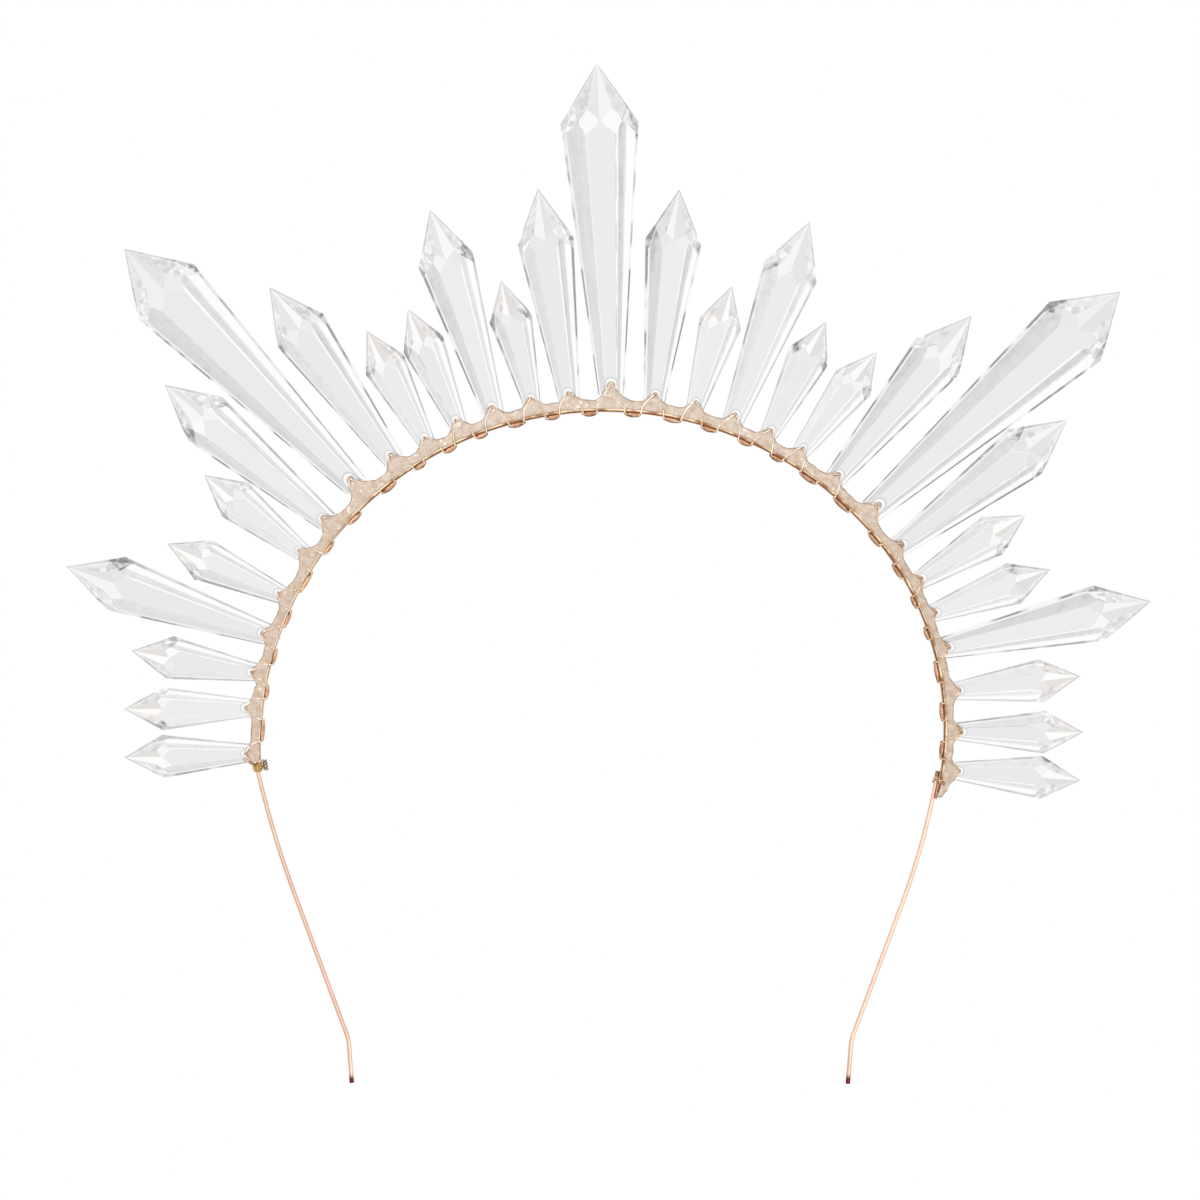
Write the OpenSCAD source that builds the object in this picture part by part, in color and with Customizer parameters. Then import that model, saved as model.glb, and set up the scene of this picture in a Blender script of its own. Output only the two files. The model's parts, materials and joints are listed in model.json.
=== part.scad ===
// Halo crown: 29 clear pointed drops laced and glued round the outside of a bent metal band.
// It lies on its back. +X is to the right and +Y to the top as seen from the front, +Z is the front.
// The origin is the middle of the crown's box on the surface that it lies on.

/* [Band] */
// Inner radius of the band over the top of the arc
top_radius = 105.5; // [104.5:0.5:106.5]
// Angle that the top arc covers
top_sweep = 97.5; // [96:0.5:99]
// Direction from the arc's centre in which the top arc begins, on the right
top_start = 41; // [40:0.5:42]
// Inner radius of the band down the left side
left_radius = 96.5; // [95:0.5:98]
// Angle that the left side covers
left_sweep = 46.5; // [46:0.5:47]
// Inner radius of the band down the right side
right_radius = 90; // [89:0.5:91]
// Angle that the right side covers
right_sweep = 54.5; // [54:0.5:55.5]
// Thickness of the strip, as seen from the front
band_thickness = 1; // [0.8:0.1:1.1]
// Depth of the strip, front to back
band_depth = 5; // [4.6:0.2:5]

/* [Drops] */
// Length of a small drop
small_length = 38.5; // [36:0.5:40]
// Greatest width of a small drop
small_width = 13; // [11:0.5:13.5]
// Length of a medium drop
medium_length = 64.5; // [62:0.5:66]
// Greatest width of a medium drop
medium_width = 17; // [15:0.5:17.5]
// Length of a large drop
large_length = 100; // [96:1:103]
// Greatest width of a large drop
large_width = 23.5; // [20:0.5:24]
// Share of a drop's width that its flat front facet takes
front_share = 0.4; // [0.38:0.02:0.44]

/* [Wires] */
// Diameter of the lacing wire
lace_diameter = 0.5; // [0.4:0.1:0.5]
// Diameter of the leg wire
leg_diameter = 1.4; // [1:0.1:1.5]
// Length of the straight tip that each leg ends in
leg_tip = 11.5; // [8:0.5:14]

/* [Glue] */
// Width of the glue outside the strip, between two drops at the top
glue_width = 2.1; // [1.8:0.1:2.2]
// Depth of the glue round a drop's neck, front to back
web_depth = 5.4; // [5.2:0.1:5.4]
// Clearance left between pieces
gap = 0.1; // [0.08:0.01:0.12]

/* [Hidden] */
$fn = 48;

// One row per size of drop
size_name = ["small", "medium", "large"];
// length, width, depth, neck width, neck depth, tip length
size_body = [
    [small_length, small_width, 7.2, 5.3, 3.6, 11.8],
    [medium_length, medium_width, 9.2, 6.4, 4, 16],
    [large_length, large_width, 11.6, 7.6, 4.3, 18]];
// bore diameter, bore's distance from the neck end, lozenge below the shoulder, lace foot spacing,
// share of the slanted facet at which two lozenges meet
size_fitting = [
    [1.6, 2, 2.6, 2.8, 0.22],
    [1.8, 2.4, 3.5, 3.1, 0.2],
    [2.4, 3.4, 4, 3.9, 0.27]];

// One row per drop, from the left end of the band
// size (0 small, 1 medium, 2 large), place along the band, lean, seat above the inner face, roll
drops = [
    [0, 5.5, 0.5, 2.5, -6],
    [0, 18.5, 6.5, 3, 4],
    [0, 29, 2.5, 3, -5],
    [1, 40.5, 0.5, 2.5, -7],
    [0, 52.5, 2, 3, 6],
    [0, 66, -4, 4, -4],
    [1, 77.5, 1, 4, -8],
    [2, 90.5, 2.5, 5.5, -3],
    [1, 103.5, 1, 4.5, -6],
    [0, 114, -1, 4, 5],
    [0, 124.5, 0, 4.5, -4],
    [1, 135, -0.5, 4, 7],
    [0, 146.5, 2.5, 4, 8],
    [1, 157.5, 3, 3.5, -5],
    [2, 169.5, 3.5, 4.5, 3],
    [1, 182, 1, 3.5, 6],
    [0, 194, -2.5, 4, -7],
    [1, 205.5, -0.5, 3.5, 4],
    [0, 216.5, -0.5, 4, 6],
    [0, 227, -5, 4, -5],
    [1, 239.5, -1, 3.5, 5],
    [2, 253.5, -2, 4, 3],
    [1, 266.5, 1.5, 3, 7],
    [0, 278, 3.5, 3, -6],
    [0, 288, -1.5, 2.5, 5],
    [1, 298.5, -2.5, 2.5, 6],
    [0, 311.5, 0, 3.5, -4],
    [0, 323, 0, 3.5, 6],
    [0, 334.5, 3.5, 3.5, -5]];
last_drop = len(drops) - 1;
half_turn = 180;
facet_count = 8;
wire_sides = 5;

// Legs: angle from the band's end, long bend's radius and angle, straight length, end bend's angle
leg_left_shape = [8, 313, 7.4, 43.8, -16];
leg_right_shape = [1.6, 224, 10.7, 41.4, -16];
end_bend_radius = 12;
leg_radius = leg_diameter / 2;
lace_radius = lace_diameter / 2;
// The left leg butts on the strip's end inside the knot: height of its axis, and how far it runs in
leg_left_height = 1.2;
leg_left_run_in = 0.95;
// Place along the band at which the strip begins, and where the right leg's top lies beside it
band_start = 1.2;
leg_right_place = 335.1;

// The band as three arcs that meet smoothly: centre, radius, first angle, sweep, place at its left end
function direction(angle) = [cos(angle), sin(angle)];
top_end = top_start + top_sweep;
left_centre = (top_radius - left_radius) * direction(top_end);
right_centre = (top_radius - right_radius) * direction(top_start);
left_length = left_radius * left_sweep * PI / half_turn;
top_length = top_radius * top_sweep * PI / half_turn;
right_length = right_radius * right_sweep * PI / half_turn;
band_length = left_length + top_length + right_length;
// The side arcs run this far into the top arc and are a hair thinner, so that all are one piece
seam = 0.2;
hair = 0.01;
left_trim = band_start / left_radius * half_turn / PI;
arcs = [
    [left_centre, left_radius, top_end - seam, left_sweep - left_trim + seam],
    [[0, 0], top_radius, top_start, top_sweep],
    [right_centre, right_radius, top_start - right_sweep, right_sweep + seam]];

// Outward direction of the band at a place along it, and the point at a height above its inner face
function band_angle(place) =
    place < left_length ? top_end + left_sweep - place / left_radius * half_turn / PI :
    place < left_length + top_length ?
        top_end - (place - left_length) / top_radius * half_turn / PI :
        top_start - (place - left_length - top_length) / right_radius * half_turn / PI;
function band_arc(place) =
    place < left_length ? arcs[0] : place < left_length + top_length ? arcs[1] : arcs[2];
function band_point(place, height) =
    band_arc(place)[0] + (band_arc(place)[1] + height) * direction(band_angle(place));
function band_point3(place, height, z) = concat(band_point(place, height), z);

// Half width and half depth of a drop's section at a distance from its neck end
function shoulder(size) = size_body[size][0] - size_body[size][5];
function half_width(size, y) = size_body[size][3] / 2
    + (size_body[size][1] - size_body[size][3]) / 2 * y / shoulder(size);
function half_depth(size, y) = size_body[size][4] / 2
    + (size_body[size][2] - size_body[size][4]) / 2 * y / shoulder(size);

// The slanted facets face the same way along the whole body, so every facet stays flat
side_share = 0.3;
function slant(size) = atan2((1 - front_share) * size_body[size][1],
    (1 - side_share) * size_body[size][2]);
// Distance from the axis to each of the eight facets, front facet first
function facet_angle(size, k) =
    [90, slant(size), 0, -slant(size), -90, slant(size) - 180, 180, 180 - slant(size)][k % facet_count];
function facet_distance(size, k, w, d) =
    k % 4 == 0 ? d : k % 4 == 2 ? w : front_share * w * cos(slant(size)) + d * sin(slant(size));
// The corner between two facets at given distances from the axis, as x and z
function corner(a1, r1, a2, r2) =
    [r1 * sin(a2) - r2 * sin(a1), r2 * cos(a1) - r1 * cos(a2)] / sin(a2 - a1);
function section(size, w, d) = [for (k = [0:facet_count - 1])
    corner(facet_angle(size, k), facet_distance(size, k, w, d),
        facet_angle(size, k + 1), facet_distance(size, k + 1, w, d))];
function at_height(points, y) = [for (p = points) [p[0], y, p[1]]];

// Where two lozenges meet at the shoulder: mid-facet, but nearer the front on the slanted facets
function shoulder_points(size) =
    let (y = shoulder(size), near = size_fitting[size][4], share = [0.5, near, 0.5, 1 - near],
        ring = at_height(section(size, half_width(size, y), half_depth(size, y)), y))
    [for (k = [0:facet_count - 1])
        ring[(k + facet_count - 1) % facet_count] * (1 - share[k % 4]) + ring[k] * share[k % 4]];
// The lozenge's upper corner, on the edge between two tip facets and in the lozenge's plane
function lozenge_top(low, left, right, edge, tip) =
    let (n = cross(left - low, right - low), t = (n * (low - edge)) / (n * (tip - edge)))
    edge + t * (tip - edge);

function drop_points(size) =
    let (body = size_body[size], y = shoulder(size), low = y - size_fitting[size][2],
        neck_bevel = 0.4, w = half_width(size, y), d = half_depth(size, y),
        belt = shoulder_points(size), edge = at_height(section(size, w, d), y),
        lower = at_height(section(size, half_width(size, low), half_depth(size, low)), low),
        tip = [0, body[0], 0])
    concat(
        at_height(section(size, body[3] / 2 - neck_bevel, body[4] / 2 - neck_bevel), 0),
        at_height(section(size, half_width(size, neck_bevel), half_depth(size, neck_bevel)), neck_bevel),
        lower,
        belt,
        [for (k = [0:facet_count - 1])
            lozenge_top(lower[k], belt[k], belt[(k + 1) % facet_count], edge[k], tip)],
        [tip]);

// Faces of a drop from its rings of eight points: neck end, neck, body, lozenges, tip
function ring_point(ring, k) = ring * facet_count + (k + facet_count) % facet_count;
tip_index = 5 * facet_count;
drop_faces = concat(
    [[for (k = [0:facet_count - 1]) ring_point(0, k)]],
    [for (k = [0:facet_count - 1])
        [ring_point(0, k - 1), ring_point(1, k - 1), ring_point(1, k), ring_point(0, k)]],
    [for (k = [0:facet_count - 1])
        [ring_point(1, k - 1), ring_point(2, k - 1), ring_point(3, k), ring_point(2, k), ring_point(1, k)]],
    [for (k = [0:facet_count - 1])
        [ring_point(2, k), ring_point(3, k), ring_point(4, k), ring_point(3, k + 1)]],
    [for (k = [0:facet_count - 1])
        [ring_point(3, k), ring_point(4, k - 1), tip_index, ring_point(4, k)]]);

// A drop's own frame: x across, y from its neck end to its tip, z to the front
function drop_axis(i) = band_angle(drops[i][1]) + drops[i][2];
function drop_seat(i) = band_point(drops[i][1], drops[i][3]);
function drop_place(i, p) =
    let (roll = drops[i][4], turn = drop_axis(i) - 90,
        x = p[0] * cos(roll) + p[2] * sin(roll), z = p[2] * cos(roll) - p[0] * sin(roll),
        seat = drop_seat(i))
    [seat[0] + x * cos(turn) - p[1] * sin(turn), seat[1] + x * sin(turn) + p[1] * cos(turn), z];
function drop_lowest(i) = min([for (p = drop_points(drops[i][0])) drop_place(i, p)[2]]);
function drop_tip(i) = drop_place(i, [0, size_body[drops[i][0]][0], 0]);

// A bent wire as a list of [straight length, bend radius, bend angle], angle positive to the left
function run_next(at, step) =
    step[1] == 0 ? [at[0] + step[0] * direction(at[1]), at[1]] :
    let (side = sign(step[2]) * step[1], centre = at[0] + side * direction(at[1] + 90))
    [centre - side * direction(at[1] + step[2] + 90), at[1] + step[2]];
function run_end(at, steps, i = 0) =
    i == len(steps) ? at : run_end(run_next(at, steps[i]), steps, i + 1);
function leg_steps(shape, side) = [
    [0, shape[1], side * shape[2]],
    [shape[3], 0, 0],
    [0, end_bend_radius, side * shape[4]],
    [leg_tip, 0, 0]];
leg_left_heading = band_angle(0) + 90 + leg_left_shape[0];
leg_left_start = [
    band_point(0, leg_left_height) - leg_left_run_in * direction(leg_left_heading),
    leg_left_heading];
leg_right_start = [
    band_point(leg_right_place, -gap - leg_radius),
    band_angle(leg_right_place) - 90 - leg_right_shape[0]];
leg_left_end = run_end(leg_left_start, leg_steps(leg_left_shape, 1));
leg_right_end = run_end(leg_right_start, leg_steps(leg_right_shape, -1));

// The crown's box, which sets the origin
tips = [for (i = [0:last_drop]) drop_tip(i)];
low_x = min([for (t = tips) t[0]]);
high_x = max([for (t = tips) t[0]]);
high_y = max([for (t = tips) t[1]]);
low_y = min(leg_left_end[0][1] - leg_radius * abs(cos(leg_left_end[1])),
    leg_right_end[0][1] - leg_radius * abs(cos(leg_right_end[1])));
rest_height = -min([for (i = [0:last_drop]) drop_lowest(i)]);
origin_shift = [-(low_x + high_x) / 2, -(low_y + high_y) / 2, rest_height];

// Lacing: two wires that cross inside each bore and again under the strip between two drops
lace_front = web_depth / 2 + gap + lace_radius + 0.1;
lace_under = lace_radius + 0.25;
lace_edge = band_depth / 2 + 0.1;
lace_hang = 1.15;
// Inside a bore the wires twist half a turn about each other
bore_turn = 0.35;
twist_half = 1.3;
function lace_foot(i) = size_fitting[drops[i][0]][3];
function bore_height(i) = size_fitting[drops[i][0]][1]
    - (size_fitting[drops[i][0]][0] / 2 - bore_turn - lace_radius - gap);
// One drop's stretch of a wire, side 1 entering the bore from the front and -1 from the back
function lace_stretch(i, side) =
    let (place = drops[i][1], foot = lace_foot(i), y = bore_height(i))
    [band_point3(place - foot, -lace_under, side * lace_edge),
        band_point3(place - foot, 0, side * lace_front),
        drop_place(i, [-bore_turn, y, side * lace_front]),
        for (t = [0:4]) drop_place(i, [-bore_turn * cos(t * 45), y - side * bore_turn * sin(t * 45),
            side * twist_half * (1 - t / 2)]),
        drop_place(i, [bore_turn, y, -side * lace_front]),
        band_point3(place + foot, 0, -side * lace_front),
        band_point3(place + foot, -lace_under, -side * lace_edge)];
// The crossing under the strip before the next drop
function lace_crossing(i, side) =
    let (middle = (drops[i][1] + lace_foot(i) + drops[i + 1][1] - lace_foot(i + 1)) / 2)
    band_point3(middle, side > 0 ? -lace_under : -lace_under - lace_hang + lace_diameter, 0);
function lace_route(side) = [for (i = [0:last_drop])
    each concat(lace_stretch(i, side), i < last_drop ? [lace_crossing(i, side)] : [])];

// The binding turns: distance above the inner face, and z, for one turn round strip and leg
left_turn = [[-0.4, 0], [-0.5, 2.5], [0, 3.05], [1.25, 2.95], [2.05, 2], [2.45, 0.7],
    [2.45, -0.7], [2.05, -2], [1.25, -2.95], [0, -3.05], [-0.5, -2.5]];
right_turn = [[-1.9, 0.5], [-1.1, 1.9], [0, 3], [0.95, 3.1], [1.6, 2.35], [1.6, 0],
    [1.6, -2.35], [0.95, -3.1], [0, -3], [-1.1, -1.9], [-1.9, -0.5]];
turn_pitch = 0.62;
// Below the strip's end the left turns draw in round the leg alone
knot_taper = 0.45;
knot_place = 0.15;
knot_turns = 3;
function turns_route(outline, place, count, taper) =
    [for (i = [0:count * len(outline)])
        let (p = outline[i % len(outline)], at = place + turn_pitch * i / len(outline),
            squeeze = 1 - taper * max(0, min(1, band_start - 0.2 - at)))
        band_point3(at, p[0], p[1] * squeeze)];
// The wire's tail, curled on the inner side of the left end and brought down beside the knot
curl_radius = 0.5;
curl_place = 2.95;
curl_height = -1.3;
curl_steps = 9;
function curl_route() = concat(
    [band_point3(2.3, -0.75, -0.2)],
    [for (i = [0:curl_steps])
        let (t = i / curl_steps * 400 - 130)
        band_point3(curl_place + curl_radius * cos(t), curl_height - curl_radius * sin(t),
            -0.3 + 1.3 * i / curl_steps)],
    [band_point3(1.6, -1.5, 1.1), band_point3(0.9, -1.25, 0.9), band_point3(0.4, -1.6, 0.6)]);

// A round wire swept along points: each ring's first direction is carried on from the ring before
function unit(v) = v / norm(v);
function route_tangent(route, i) = unit(route[min(i + 1, len(route) - 1)] - route[max(i - 1, 0)]);
function carry(v, tangent) = unit(v - (v * tangent) * tangent);
function wire_frames(route) = [
    for (i = 0, t = route_tangent(route, 0), v = carry([0.3, 0.5, 0.8], t); i < len(route);
        i = i + 1, t = i < len(route) ? route_tangent(route, i) : t, v = carry(v, t)) [t, v]];
function wire_points(route, r) =
    let (frames = wire_frames(route))
    [for (i = [0:len(route) - 1]) each
        let (u = frames[i][1], v = cross(frames[i][0], u))
        [for (k = [0:wire_sides - 1])
            let (a = 360 * k / wire_sides) route[i] + r * (cos(a) * u + sin(a) * v)]];
function wire_faces(rings) = concat(
    [[for (k = [0:wire_sides - 1]) k]],
    [for (i = [0:rings - 2]) each [for (k = [0:wire_sides - 1]) each
        let (a = i * wire_sides + k, b = i * wire_sides + (k + 1) % wire_sides)
        [[a, b + wire_sides, b], [a, a + wire_sides, b + wire_sides]]]],
    [[for (k = [0:wire_sides - 1]) rings * wire_sides - 1 - k]]);
module wire(route) {
    polyhedron(wire_points(route, lace_radius), wire_faces(len(route)), convexity = 10);
}

// A bent wire of true cylinders and arcs, from a start point and heading
// Each cylinder runs a little way into the arcs beside it, which are a hair thinner
joint = 0.3;
module run(at, steps, radius, i = 0) {
    if (i < len(steps)) {
        step = steps[i];
        after = i < len(steps) - 1 ? joint : 0;
        translate([at[0][0], at[0][1], 0]) rotate([0, 0, at[1] - 90]) {
            if (step[1] == 0)
                translate([0, -joint, 0]) rotate([-90, 0, 0])
                    cylinder(h = step[0] + joint + after, r = radius);
            else
                mirror([step[2] < 0 ? 1 : 0, 0, 0])
                    translate([-step[1], 0, 0])
                        rotate_extrude(angle = abs(step[2]), $fn = 720)
                            translate([step[1], 0]) circle(r = radius - hair, $fn = 32);
        }
        run(run_next(at, step), steps, radius, i + 1);
    }
}

// A stretch of ring that follows one of the band's arcs
module arc_ring(arc) {
    translate([arc[0][0], arc[0][1], 0]) rotate([0, 0, arc[2]])
        rotate_extrude(angle = arc[3], $fn = 240) translate([arc[1], 0]) children();
}

module centred() {
    translate(origin_shift) children();
}

// The strip, with its right end snipped to a taper on the outer side
snip_length = 2;
snip_depth = 0.75;
module band() {
    color("peru") centred() difference() {
        union() {
            arc_ring(arcs[1]) translate([0, -band_depth / 2]) square([band_thickness, band_depth]);
            for (k = [0, 2])
                arc_ring(arcs[k]) translate([hair, hair - band_depth / 2])
                    square([band_thickness - 2 * hair, band_depth - 2 * hair]);
        }
        translate(concat(band_point(band_length - snip_length, band_thickness), -band_depth))
            rotate([0, 0, band_angle(band_length - snip_length / 2) - 90 - atan(snip_depth / snip_length)])
                translate([-0.5, 0, 0]) cube([2 * snip_length, 2, 2 * band_depth]);
    }
}

module drop_bore(size) {
    translate([0, size_fitting[size][1], -size_body[size][4]])
        cylinder(h = 2 * size_body[size][4], d = size_fitting[size][0]);
}
module drop_frame(i) {
    seat = drop_seat(i);
    translate([seat[0], seat[1], 0]) rotate([0, 0, drop_axis(i) - 90]) children();
}
module drop(i) {
    size = drops[i][0];
    color([0.9, 0.92, 0.94, 0.5]) centred() drop_frame(i) rotate([0, drops[i][4], 0])
        difference() {
            polyhedron(drop_points(size), drop_faces, convexity = 4);
            drop_bore(size);
        }
}

// Glue: a bead outside the strip, and a web round each drop's neck up to its bore
bead_widths = [glue_width - 0.6, glue_width, glue_width - 0.3];
bead_start = 2.7;
// Web: width of its foot beside the neck, height of the foot, half width at its top, lift off the strip
web_foot = 3.4;
web_foot_height = 0.9;
web_top = 1.4;
web_lift = 0.2;
flank_radius = 9;
// A scoop cuts this much past the corners that it runs through
nick = 0.03;
glue_floor = band_thickness + gap;
far = 150;
// A flat stretch of ring along one of the band's arcs, between two heights above the inner face
module flat_ring(arc, low, high) {
    translate(arc[0]) rotate(arc[2]) intersection() {
        difference() {
            circle(r = arc[1] + high, $fn = 240);
            circle(r = arc[1] + low, $fn = 240);
        }
        polygon([[0, 0], [far, 0], far * direction(arc[3] / 2), far * direction(arc[3])]);
    }
}
module flat_frame(at, turn) {
    translate(at) rotate(turn) children();
}
// A web's lower corner, in the drop's frame: beside the seat by x along the strip, and at a height over it
function web_corner(i, x, height) =
    let (lean = drops[i][2]) x * [cos(lean), -sin(lean)] + height * [sin(lean), cos(lean)];
// Centre of the circle that scoops out a web's flank, through its foot and its top
function scoop_centre(foot, top) =
    let (middle = (foot + top) / 2, chord = foot - top,
        rise = sqrt(flank_radius * flank_radius - (norm(chord) / 2) * (norm(chord) / 2)))
    middle + rise * [-chord[1], chord[0]] / norm(chord);
module flat_web(i) {
    size = drops[i][0];
    base = glue_floor + web_lift - drops[i][3];
    foot = [size_body[size][3] / 2 + web_foot, base + web_foot_height];
    top = [web_top, size_fitting[size][1] - size_fitting[size][0] / 2 - gap];
    flat_frame(drop_seat(i), drop_axis(i) - 90) difference() {
        polygon([web_corner(i, -foot[0], base), web_corner(i, foot[0], base), foot, top,
            [-top[0], top[1]], [-foot[0], foot[1]]]);
        for (side = [0, 1])
            mirror([side, 0]) translate(scoop_centre(foot, top)) circle(r = flank_radius + nick, $fn = 96);
    }
}
// Room for the turns of wire that bind on each leg
knot_room = 12;
binding_place = 338.3;
binding_turns = 2;
binding_room = [1.98, 1];
module flat_rooms() {
    middle = binding_place + turn_pitch * binding_turns / 2;
    flat_frame(band_point(middle, 0), band_angle(middle))
        translate([0, -binding_room[1]]) square([binding_room[0], 2 * binding_room[1]]);
    flat_frame(band_point(bead_start, 0), band_angle(bead_start)) square(knot_room);
}
// At the snipped end the glue runs out along a slanted line: places and heights of its corners
tail_corners = [[342.8, 1.25], [336.2, 4.6], [334.6, 4.3], [334.6, 1.6]];
bead_end = 339.2;
end_trim = (band_length - bead_end) / right_radius * half_turn / PI;
glue_arcs = [arcs[0], arcs[1],
    [arcs[2][0], arcs[2][1], arcs[2][2] + end_trim, arcs[2][3] - end_trim]];
module flat_glue() {
    difference() {
        union() {
            for (k = [0:2])
                flat_ring(glue_arcs[k], glue_floor + (k == 1 ? 0 : hair), glue_floor + bead_widths[k]);
            for (i = [0:last_drop])
                flat_web(i);
            polygon([for (c = tail_corners) band_point(c[0], c[1])]);
        }
        flat_rooms();
    }
}
// The hollow that a drop's neck sits in
pocket_reach = 6;
module pocket(i) {
    size = drops[i][0];
    w = half_width(size, size_fitting[size][1]) + gap;
    d = half_depth(size, size_fitting[size][1]) + gap;
    drop_frame(i) rotate([0, drops[i][4], 0]) translate([0, pocket_reach - gap, 0])
        rotate([90, 0, 0]) linear_extrude(pocket_reach) polygon(section(size, w, d));
}
module resin() {
    color([0.89, 0.8, 0.73, 0.8]) centred() difference() {
        translate([0, 0, -web_depth / 2]) linear_extrude(web_depth) flat_glue();
        for (i = [0:last_drop])
            pocket(i);
    }
}

module leg_left() {
    color("rosybrown") centred() run(leg_left_start, leg_steps(leg_left_shape, 1), leg_radius);
}
module leg_right() {
    color("rosybrown") centred() run(leg_right_start, leg_steps(leg_right_shape, -1), leg_radius);
}
module lacing_front() {
    color("gold") centred() wire(lace_route(1));
}
module lacing_back() {
    color("gold") centred() wire(lace_route(-1));
}
module knot_left() {
    color("goldenrod") centred()
        wire(concat(turns_route(left_turn, knot_place, knot_turns, knot_taper), curl_route()));
}
module binding_right() {
    color("gold") centred() wire(turns_route(right_turn, binding_place, binding_turns, 0));
}

function drop_name(i) = str("drop_", i < 9 ? "0" : "", i + 1, "_", size_name[drops[i][0]]);

band();
resin();
leg_left();
leg_right();
lacing_front();
lacing_back();
knot_left();
binding_right();
for (i = [0:last_drop])
    drop(i);
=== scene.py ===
import json
import math
import random

import bmesh
import bpy
import numpy as np
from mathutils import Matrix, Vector, noise

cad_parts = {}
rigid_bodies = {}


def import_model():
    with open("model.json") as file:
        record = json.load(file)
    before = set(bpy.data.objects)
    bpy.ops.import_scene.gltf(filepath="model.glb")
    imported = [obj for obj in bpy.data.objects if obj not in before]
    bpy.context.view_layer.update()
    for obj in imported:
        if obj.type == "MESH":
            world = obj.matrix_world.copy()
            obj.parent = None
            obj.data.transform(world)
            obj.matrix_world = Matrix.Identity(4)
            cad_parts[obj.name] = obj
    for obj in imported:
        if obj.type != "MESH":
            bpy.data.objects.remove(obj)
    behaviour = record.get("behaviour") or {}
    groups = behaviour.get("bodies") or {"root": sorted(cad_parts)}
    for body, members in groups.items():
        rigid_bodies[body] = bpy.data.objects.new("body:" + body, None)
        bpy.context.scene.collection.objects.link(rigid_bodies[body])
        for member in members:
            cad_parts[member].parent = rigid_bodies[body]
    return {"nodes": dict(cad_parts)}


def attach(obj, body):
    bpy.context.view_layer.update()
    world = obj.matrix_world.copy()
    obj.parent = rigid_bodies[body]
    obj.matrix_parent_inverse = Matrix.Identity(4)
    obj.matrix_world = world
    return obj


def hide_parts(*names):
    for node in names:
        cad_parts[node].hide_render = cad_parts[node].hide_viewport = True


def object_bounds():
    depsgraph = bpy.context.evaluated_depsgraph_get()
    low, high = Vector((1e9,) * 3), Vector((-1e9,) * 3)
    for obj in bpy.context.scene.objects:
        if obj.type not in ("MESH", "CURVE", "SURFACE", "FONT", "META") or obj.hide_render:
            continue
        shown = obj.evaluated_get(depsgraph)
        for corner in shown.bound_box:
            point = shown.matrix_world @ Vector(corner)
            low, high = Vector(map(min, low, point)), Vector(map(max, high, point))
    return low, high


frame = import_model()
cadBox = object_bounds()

print("frame loaded:", len(frame["nodes"]), "nodes")

mm = 0.001
nodes = frame["nodes"]

# The crown's own sizes in millimetres, as the frame has them
crown = {
    "topRadius": 105.5, "topSweep": 97.5, "topStart": 41.0,
    "leftRadius": 96.5, "leftSweep": 46.5,
    "rightRadius": 90.0, "rightSweep": 54.5,
    "bandStart": 1.2,
    "shift": (-1.23355, -56.7387, 5.85211),
    # how much further in than a plain arc the strip lies, by place along the band
    "sunk": ((0.0, 0.0), (7.0, 0.0), (16.0, -0.34), (215.0, -0.34),
             (245.0, -0.24), (285.0, -0.1), (328.0, 0.0)),
}

dropSizes = {
    "small": {"length": 38.5, "width": 13.0, "tip": 11.8, "neck": 5.3, "lozenge": 2.6,
              "bore": 1.6, "boreAt": 2.0, "foot": 2.8},
    "medium": {"length": 64.5, "width": 17.0, "tip": 16.0, "neck": 6.4, "lozenge": 3.5,
               "bore": 1.8, "boreAt": 2.4, "foot": 3.1},
    "large": {"length": 100.0, "width": 23.5, "tip": 18.0, "neck": 7.6, "lozenge": 4.0,
              "bore": 2.4, "boreAt": 3.4, "foot": 3.9},
}
# One row per drop from the crown's left end: size, place along the band, lean, seat, roll
dropRows = [
    ("small", 5.5, 0.5, 2.5, -6), ("small", 18.5, 6.5, 3, 4), ("small", 29, 2.5, 3, -5),
    ("medium", 40.5, 0.5, 2.5, -7), ("small", 52.5, 2, 3, 6), ("small", 66, -4, 4, -4),
    ("medium", 77.5, 1, 4, -8), ("large", 90.5, 2.5, 5.5, -3), ("medium", 103.5, 1, 4.5, -6),
    ("small", 114, -1, 4, 5), ("small", 124.5, 0, 4.5, -4), ("medium", 135, -0.5, 4, 7),
    ("small", 146.5, 2.5, 4, 8), ("medium", 157.5, 3, 3.5, -5), ("large", 169.5, 3.5, 4.5, 3),
    ("medium", 182, 1, 3.5, 6), ("small", 194, -2.5, 4, -7), ("medium", 205.5, -0.5, 3.5, 4),
    ("small", 216.5, -0.5, 4, 6), ("small", 227, -5, 4, -5), ("medium", 239.5, -1, 3.5, 5),
    ("large", 253.5, -2, 4, 3), ("medium", 266.5, 1.5, 3, 7), ("small", 278, 3.5, 3, -6),
    ("small", 288, -1.5, 2.5, 5), ("medium", 298.5, -2.5, 2.5, 6), ("small", 311.5, 0, 3.5, -4),
    ("small", 323, 0, 3.5, 6), ("small", 334.5, 3.5, 3.5, -5),
]
dropNodes = ["drop_%02d_%s" % (i + 1, row[0]) for i, row in enumerate(dropRows)]

leftLength = math.radians(crown["leftSweep"]) * crown["leftRadius"]
topLength = math.radians(crown["topSweep"]) * crown["topRadius"]
rightLength = math.radians(crown["rightSweep"]) * crown["rightRadius"]
bandLength = leftLength + topLength + rightLength
topEnd = crown["topStart"] + crown["topSweep"]


def direction(angle):
    return Vector((math.cos(math.radians(angle)), math.sin(math.radians(angle)), 0))


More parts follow.
